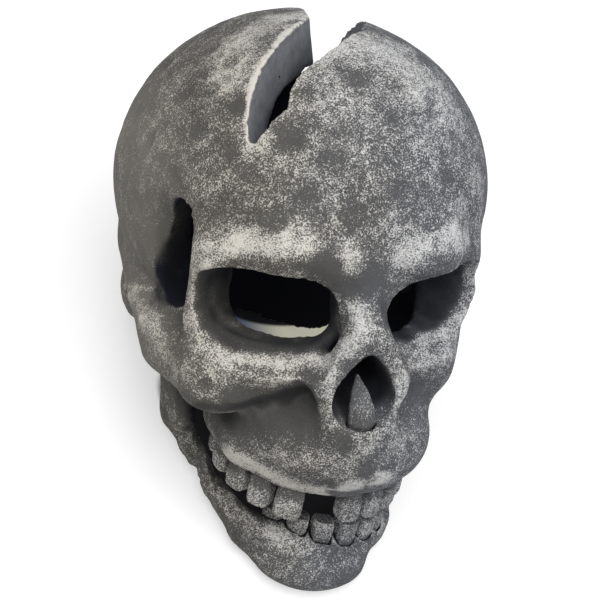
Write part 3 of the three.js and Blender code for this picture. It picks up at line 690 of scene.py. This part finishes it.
# Teeth and the blade in the nose
teeth = sorted(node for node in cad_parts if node.startswith(("upper_", "lower_")))
toothLook = {
    "lumps": 0.18, "lumpSize": 4.5, "lumpSink": 0.7,
    "cream": 0.36, "ridge": 0.14, "ridgeHeight": 0.25,
    "root": 0.3, "rootFrom": (0.62, 0.42), "mist": 0.06, "reached": (0.1, 0.5),
}
toothPieces = []
for number, node in enumerate(teeth):
    tooth = cast(node, "tooth")[0]
    points = pointsOf(tooth)
    normals = normalsOf(tooth)
    lumps = wobble(points, toothLook["lumpSize"] * mm, seed=20 + number) * toothLook["lumps"]
    lumps = lumps - toothLook["lumps"] * toothLook["lumpSink"]
    movePoints(tooth, points + normals * (lumps * mm)[:, None])
    head = upright(points)
    low, high = head[:, 2].min(), head[:, 2].max()
    crown = (high - head[:, 2]) / (high - low)  # 0 at the root's end, 1 at the biting edge
    if node.startswith("lower_"):
        crown = 1 - crown
    edges = neighbours(tooth)
    middle = np.stack([spread(points[:, k], edges, rounds=10) for k in range(3)], axis=1)
    ridge = np.einsum("ij,ij->i", points - middle, normals) / (toothLook["ridgeHeight"] * mm)
    ridge = np.clip(ridge, -1, 1)
    nowhere = np.zeros(len(points), bool)
    sky = spread(openness(points, normals, skinTrees, nowhere), edges, rounds=4)
    load = toothLook["cream"] + toothLook["ridge"] * ridge
    load = load - toothLook["root"] * ease(*toothLook["rootFrom"], crown)
    reached = ease(*toothLook["reached"], sky)
    keep(tooth, load=np.clip(load * reached, 0, 1), mist=toothLook["mist"] * reached, sky=sky,
         cut=0, dark=0)
    toothPieces.append((tooth, node))
print("teeth:", len(toothPieces))

bladeLook = {"lumps": 0.2, "lumpSize": 5, "sink": 0.15, "load": 0.12, "mist": 0.05, "sky": 0.6}
blade = cast("nasal_blade", "blade")[0]
points = pointsOf(blade)
normals = normalsOf(blade)
lumps = wobble(points, bladeLook["lumpSize"] * mm, seed=51) * bladeLook["lumps"]
lumps = lumps - bladeLook["sink"]
movePoints(blade, points + normals * (lumps * mm)[:, None])
keep(blade, load=bladeLook["load"], mist=bladeLook["mist"], sky=bladeLook["sky"], cut=0, dark=0)
print("blade: cast")

# Steel pins and washers, turned on the jaw's axis
pin = {
    "diameter": 6, "headDiameter": 11, "headThick": 2.6, "sides": 64, "bevel": 0.45,
    "boreGap": 0.3, "washerBevel": 0.3, "smoothAngle": 35,
}


def turned(name, profile, centre, side):
    # a lathe-turned piece: radius and reach pairs along the jaw's axis
    bpy.ops.object.select_all(action="DESELECT")
    radius, start = profile[0]
    bpy.ops.mesh.primitive_circle_add(
        vertices=pin["sides"], radius=radius * mm, fill_type="NOTHING", location=(0, 0, 0))
    piece = bpy.context.object
    piece.name = name
    bpy.ops.object.mode_set(mode="EDIT")
    bpy.ops.mesh.select_all(action="SELECT")
    bpy.ops.transform.translate(value=(0, 0, start * mm))
    for (before, low), (after, high) in zip(profile, profile[1:]):
        bpy.ops.mesh.extrude_edges_move()
        bpy.ops.transform.translate(value=(0, 0, (high - low) * mm))
        grow = after / before
        bpy.ops.transform.resize(value=(grow, grow, 1), center_override=(0, 0, 0))
    bpy.ops.mesh.select_all(action="SELECT")
    bpy.ops.mesh.remove_doubles(threshold=1e-6)
    bpy.ops.mesh.fill_holes(sides=0)
    bpy.ops.mesh.normals_make_consistent(inside=False)
    bpy.ops.object.mode_set(mode="OBJECT")
    turnAxis = Matrix.Rotation(math.radians(90 * side), 4, "Y")
    piece.data.transform(Matrix.Translation(centre) @ turnAxis)
    piece.data.update()
    bpy.ops.object.shade_smooth_by_angle(angle=math.radians(pin["smoothAngle"]))
    return piece


steelPieces = []
for side, word in ((1, "left"), (-1, "right")):
    low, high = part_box("jaw_pin_" + word)
    centre = (low + high) / 2
    half = (high.x - low.x) / 2 / mm
    radius = pin["diameter"] / 2
    top = pin["headDiameter"] / 2
    bevel = pin["bevel"]
    neck = half - pin["headThick"]
    # the shank, then the head with its rounded edges
    pinPiece = turned("jaw_pin_" + word + "_turned", [
        (radius - bevel, -half), (radius, bevel - half), (radius, neck), (top - bevel * 0.5, neck),
        (top, neck + bevel * 0.5), (top, half - bevel * 2), (top - bevel, half - bevel * 0.6),
        (top - bevel * 3, half),
    ], centre, side)
    steelPieces.append((pinPiece, "jaw_pin_" + word))
    low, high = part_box("jaw_washer_" + word)
    centre = (low + high) / 2
    thick = (high.x - low.x) / 2 / mm
    rim = (high.y - low.y) / 2 / mm
    bore = radius + pin["boreGap"]
    edge = pin["washerBevel"]
    ring = turned("jaw_washer_" + word + "_turned", [
        (bore, -thick), (rim - edge, -thick), (rim, edge - thick), (rim, thick - edge),
        (rim - edge, thick), (bore, thick), (bore, -thick),
    ], centre, side)
    steelPieces.append((ring, "jaw_washer_" + word))
print("steel:", len(steelPieces))


# Shader maths: a wired socket that adds its own Math nodes
class Wire:
    def __init__(self, finish, socket):
        self.finish = finish
        self.socket = socket

    def maths(self, operation, first, second):
        return self.finish.node("ShaderNodeMath", {"operation": operation}, {0: first, 1: second})

    def __add__(self, other):
        return self.maths("ADD", self, other)

    def __radd__(self, other):
        return self.maths("ADD", other, self)

    def __sub__(self, other):
        return self.maths("SUBTRACT", self, other)

    def __rsub__(self, other):
        return self.maths("SUBTRACT", other, self)

    def __mul__(self, other):
        return self.maths("MULTIPLY", self, other)

    def __rmul__(self, other):
        return self.maths("MULTIPLY", other, self)


# The nodes of a material or the world
class Finish:
    def __init__(self, owner):
        self.owner = owner
        owner.use_nodes = True
        self.tree = owner.node_tree
        self.tree.nodes.clear()

    def node(self, kind, settings, sockets, output=0):
        # makes a node: settings first, then the values or wires of its sockets
        made = self.tree.nodes.new(kind)
        for name, value in settings.items():
            setattr(made, name, value)
        for name, value in sockets.items():
            if isinstance(value, Wire):
                self.tree.links.new(value.socket, made.inputs[name])
            elif hasattr(value, "__len__") and len(value) == 3 and made.inputs[name].type == "RGBA":
                made.inputs[name].default_value = (*value, 1)
            else:
                made.inputs[name].default_value = value
        return Wire(self, made.outputs[output]) if made.outputs else None

    def place(self):
        # the place on the object, in metres
        return self.node("ShaderNodeTexCoord", {}, {}, "Object")

    def sideways(self):
        return self.node("ShaderNodeSeparateXYZ", {}, {"Vector": self.place()}, "X")

    def grain(self, size, detail, rough, warp=0):
        # noise from 0 to 1 whose grains are about the size, in millimetres
        return self.node("ShaderNodeTexNoise", {}, {
            "Vector": self.place(), "Scale": 1 / (size * mm), "Detail": detail, "Roughness": rough,
            "Distortion": warp})

    def scaled(self, colour, share):
        return self.node(
            "ShaderNodeVectorMath", {"operation": "SCALE"}, {0: colour, "Scale": share})

    def length(self, vector):
        return self.node("ShaderNodeVectorMath", {"operation": "LENGTH"}, {0: vector}, "Value")

    def attribute(self, name):
        return self.node("ShaderNodeAttribute", {"attribute_name": name}, {}, "Fac")

    def between(self, value, low, high):
        # 0 below low, 1 above high, eased
        return self.node("ShaderNodeMapRange", {"interpolation_type": "SMOOTHSTEP"}, {
            "Value": value, "From Min": low, "From Max": high})

    def blend(self, share, first, second):
        return self.node("ShaderNodeMix", {"data_type": "RGBA"}, {0: share, 6: first, 7: second}, 2)

    def bump(self, relief, strength, height):
        return self.node("ShaderNodeBump", {}, {
            "Strength": strength, "Distance": height * mm, "Height": relief})

    def spot(self, place, inner, outer):
        # 1 inside a small ball round a place on the object, 0 past the outer radius
        gap = self.node(
            "ShaderNodeVectorMath", {"operation": "DISTANCE"}, {0: self.place(), 1: place}, "Value")
        return 1 - self.between(gap, inner * mm, outer * mm)

    def surface(self, sockets):
        shader = self.node("ShaderNodeBsdfPrincipled", {}, sockets)
        self.node("ShaderNodeOutputMaterial", {}, {"Surface": shader})
        return self.owner


# Cast ceramic, slate grey with cream caught on its high places
ceramic = {
    "slateWarm": (0.075, 0.072, 0.064),
    "slateCool": (0.066, 0.07, 0.082),
    "cream": (0.66, 0.625, 0.56),
    "creamCool": (0.6, 0.605, 0.61),
    # painted shade colours: deep for recesses and pores, inside for the hollow and slots
    "deep": (0.006, 0.0065, 0.011),
    "inside": (0.0075, 0.0082, 0.0145),
    "wall": (0.25, 0.262, 0.29),
    "toothCream": (0.66, 0.63, 0.57),
    # grains: the size in millimetres, the detail, the roughness and the warp
    "speck": (0.56, 3, 0.62, 0.3),
    "fine": (0.3, 2, 0.6),
    "clump": (2.2, 3, 0.6, 0.4),
    "patch": (9, 2, 0.55),
    "drift": (30, 2, 0.5),
    "streak": (4, 3, 0.6),
    # how much each grain counts in the slate's tone, the cream's cover, the wall and the relief
    "tone": {"start": 0.18, "speck": 0.95, "fine": 0.55, "drift": 0.5, "patch": 0.5},
    "cover": {"speck": 4.2, "fine": 1.5, "clump": 1.5, "patch": 0.9, "load": 1.7},
    "wallTone": {"start": 0.35, "streak": 0.9, "speck": 0.3},
    "relief": {"speck": 0.5, "cover": 0.35, "fine": 0.25},
    # painted light: cooler towards the skull's own left and warmer towards its right, for the
    # colours of the light from each side, between these two x
    "paintedLightTint": (-55, 35),
    "coolDrift": 60,
    "wallShare": 0.85,
    # sky shares over which the painted shade of the recesses comes in
    "shadow": (0.03, 0.62),
    "bump": {"strength": 0.3, "height": 0.3},
    "roughness": 0.97,
    "creamShine": 0.1,
    "specular": 0.25,
    # pixels of the photograph with a pore, and its radius, with its edge in shares of that; each
    # pore is a spot of painted shade
    "pores": [(280, 77, 0.7), (305, 489, 0.55), (315, 494, 0.6), (345, 192, 0.4)],
    "poreEdge": (0.6, 1.1),
}


def ceramicFinish(name, cream, tree=None):
    # the finish of a casting, with painted shade in its recesses, hollow and slots, and pores
    # painted as spots of shade where a tree is given to find them on
    finish = Finish(bpy.data.materials.new(name))
    names = ("load", "mist", "sky", "cut", "dark")
    load, mist, sky, cut, dark = (finish.attribute(name) for name in names)
    names = ("speck", "fine", "clump", "patch", "drift", "streak")
    speck, fine, clump, patch, drift, streak = (finish.grain(*ceramic[name]) for name in names)
    # Painted light: a warm and cool tint across the skull for the colour of the light
    sideways = finish.sideways() + (drift - 0.5) * (ceramic["coolDrift"] * mm)
    paintedLightTint = finish.between(sideways, *(x * mm for x in ceramic["paintedLightTint"]))
    tones = ceramic["tone"]
    tone = tones["start"] + speck * tones["speck"] + fine * tones["fine"]
    tone = tone + (drift - 0.5) * tones["drift"] + (patch - 0.5) * tones["patch"]
    slate = finish.scaled(finish.blend(paintedLightTint, ceramic["slateWarm"], ceramic["slateCool"]), tone)
    paint = finish.blend(paintedLightTint, cream, ceramic["creamCool"])
    covers = ceramic["cover"]
    grainy = (speck - 0.5) * covers["speck"] + (fine - 0.5) * covers["fine"]
    grainy = grainy + (clump - 0.5) * covers["clump"] + (patch - 0.5) * covers["patch"]
    cover = finish.between(0.5 + grainy + (load - 0.5) * covers["load"], 0, 1)
    cover = mist + (1 - mist) * cover
    colour = finish.blend(cover * (1 - cut), slate, paint)
    walls = ceramic["wallTone"]
    wallTone = walls["start"] + streak * walls["streak"] + speck * walls["speck"]
    wall = finish.scaled(ceramic["wall"], wallTone)
    colour = finish.blend(cut * ceramic["wallShare"], colour, wall)
    # Painted shade where the surface sees little sky
    colour = finish.blend(1 - finish.between(sky, *ceramic["shadow"]), colour, ceramic["deep"])
    # Painted shade in the hollow and the slots
    colour = finish.blend(dark, colour, ceramic["inside"])
    # Pores: small spots of painted shade
    full, none = ceramic["poreEdge"]
    for x, y, radius in ceramic["pores"] if tree else []:
        place = tree.ray_cast(eye, photoRay(x, y))[0]
        if place is not None:
            pore = finish.spot(place, radius * full, radius * none)
            colour = finish.blend(pore, colour, ceramic["deep"])
    reliefs = ceramic["relief"]
    height = speck * reliefs["speck"] + cover * reliefs["cover"] + fine * reliefs["fine"]
    return finish.surface({
        "Base Color": colour, "Roughness": ceramic["roughness"] - cover * ceramic["creamShine"],
        "Normal": finish.bump(height * (1 - dark), **ceramic["bump"]),
        "Specular IOR Level": ceramic["specular"]})


craniumFinish = ceramicFinish("castCeramic", ceramic["cream"], craniumTree)
mandibleFinish = ceramicFinish("castCeramicJaw", ceramic["cream"])
toothFinish = ceramicFinish("toothCeramic", ceramic["toothCream"])

# Turned steel, with fine rings of light and dark
turnedSteel = {
    "rings": (0.5, 2, 0.6),
    "dark": (0.3, 0.3, 0.31),
    "light": (0.46, 0.46, 0.47),
    "bump": {"strength": 0.15, "height": 0.05},
    "roughness": 0.28,
    "roughRings": 0.2,
}


def steelFinish():
    finish = Finish(bpy.data.materials.new("turnedSteel"))
    rings = finish.grain(*turnedSteel["rings"])
    return finish.surface({
        "Base Color": finish.blend(rings, turnedSteel["dark"], turnedSteel["light"]),
        "Roughness": turnedSteel["roughness"] + rings * turnedSteel["roughRings"],
        "Normal": finish.bump(rings, **turnedSteel["bump"]), "Metallic": 1.0})


steel = steelFinish()


def dress(piece, material, node, body):
    # the finish of a piece, its body and the node it stands for
    piece.data.materials.clear()
    piece.data.materials.append(material)
    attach(piece, body)
    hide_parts(node)


for piece in [cranium, mandible, blade] + [tooth for tooth, node in toothPieces]:
    for polygon in piece.data.polygons:
        polygon.use_smooth = True
dress(cranium, craniumFinish, "cranium_shell", "cranium")
dress(mandible, mandibleFinish, "mandible", "jaw")
dress(blade, toothFinish, "nasal_blade", "cranium")
for piece, node in toothPieces:
    body = "cranium" if node.startswith("upper_") else "jaw"
    dress(piece, toothFinish, node, body)
for piece, node in steelPieces:
    dress(piece, steel, node, "cranium")
print("pieces: dressed")

# Studio: white floor, soft lamps and a pale world, in metres
studio = {
    "floor": 14.0,
    "floorColour": (0.62, 0.62, 0.62),
    "floorGlow": (0.5, 0.5, 0.5),
    "farGlow": (0.35, 1.4),
    # ellipses of painted deep shade: the ground inside the jaw, in the mouth and behind the base
    # opening
    "shades": [
        {"place": (-0.009, -0.038), "half": (0.052, 0.0215), "turn": -54, "edge": (0.98, 1.1)},
        {"place": (0, -0.06), "half": (0.025, 0.0155), "turn": 0, "edge": (0.98, 1.1)},
        {"place": (0.024, 0.045), "half": (0.034, 0.0175), "turn": 0, "edge": (0.93, 1.05)},
    ],
    "shadeColour": (0.025, 0.025, 0.03),
    # painted shade on the ground under the vault, bluish to warm from left to right
    "under": {"place": (0.014, 0.027), "half": (0.034, 0.018), "turn": 0, "edge": (0.8, 1.15)},
    "underBlue": (0.05, 0.065, 0.1),
    "underWarm": (0.36, 0.35, 0.28),
    "underAcross": (-0.002, 0.022),
    "floorRoughness": 0.9,
    "aim": (0, -0.02, 0.09),
    "key": {"place": (-0.18, -0.25, 1.25), "size": 0.9, "power": 13.4},
    "fill": {"place": (0.7, -0.8, 0.7), "size": 0.8, "power": 2.6},
    "world": 0.25,
}


def whiteToCamera(finish):
    # 1 for rays that should see a white studio
    names = ("Is Camera Ray", "Is Glossy Ray", "Is Transmission Ray")
    camera, glossy, clear = (finish.node("ShaderNodeLightPath", {}, {}, name) for name in names)
    return camera.maths("MAXIMUM", camera, glossy.maths("MAXIMUM", glossy, clear))


def floorSpot(finish, spot):
    # 0 inside an ellipse on the floor, 1 outside
    here = finish.node("ShaderNodeMapping", {"vector_type": "TEXTURE"}, {
        "Vector": finish.place(), "Location": (*spot["place"], 0), "Scale": (*spot["half"], 1),
        "Rotation": (0, 0, math.radians(spot["turn"]))})
    return finish.between(finish.length(here), *spot["edge"])


def floorFinish():
    finish = Finish(bpy.data.materials.new("studioWhite"))
    # Painted shade: the ellipses darken the floor and take away its glow
    inside, mouth, back = (floorSpot(finish, shade) for shade in studio["shades"])
    lit = inside * mouth * back
    # Painted shade under the vault, in the floor's colour and in its glow
    under = 1 - floorSpot(finish, studio["under"])
    across = finish.between(finish.sideways(), *studio["underAcross"])
    underShade = finish.blend(across, studio["underBlue"], studio["underWarm"])
    ground = finish.blend(under, studio["floorColour"], underShade)
    # past the lamps the floor glows more, so that its edge melts into the background
    away = finish.between(finish.length(finish.place()), *studio["farGlow"])
    shone = finish.blend(away, studio["floorGlow"], (1, 1, 1))
    shone = finish.blend(under, shone, underShade)
    glow = whiteToCamera(finish) * lit
    return finish.surface({
        "Base Color": finish.blend(lit, studio["shadeColour"], ground),
        "Roughness": studio["floorRoughness"],
        "Emission Color": finish.blend(glow, (0, 0, 0), shone), "Emission Strength": 1.0})


bpy.ops.object.select_all(action="DESELECT")
bpy.ops.mesh.primitive_plane_add(size=studio["floor"], location=(0, 0, 0))
floor = bpy.context.object
floor.name = "studioFloor"
floor.data.materials.append(floorFinish())

for name in ("key", "fill"):
    lamp = studio[name]
    bpy.ops.object.light_add(type="AREA", location=lamp["place"])
    light = bpy.context.object
    light.name = name + "Lamp"
    light.data.size = lamp["size"]
    light.data.energy = lamp["power"]
    aim = Vector(studio["aim"]) - Vector(lamp["place"])
    light.rotation_euler = aim.to_track_quat("-Z", "Y").to_euler()

bpy.context.scene.world = bpy.data.worlds.new("studioWorld")
around = Finish(bpy.context.scene.world)
lit, white = (
    around.node("ShaderNodeBackground", {}, {"Color": (1, 1, 1), "Strength": strength})
    for strength in (studio["world"], 1))
mixed = around.node("ShaderNodeMixShader", {}, {0: whiteToCamera(around), 1: lit, 2: white})
around.node("ShaderNodeOutputWorld", {}, {"Surface": mixed})
bpy.context.scene.view_settings.view_transform = "Standard"
print("studio: lit")
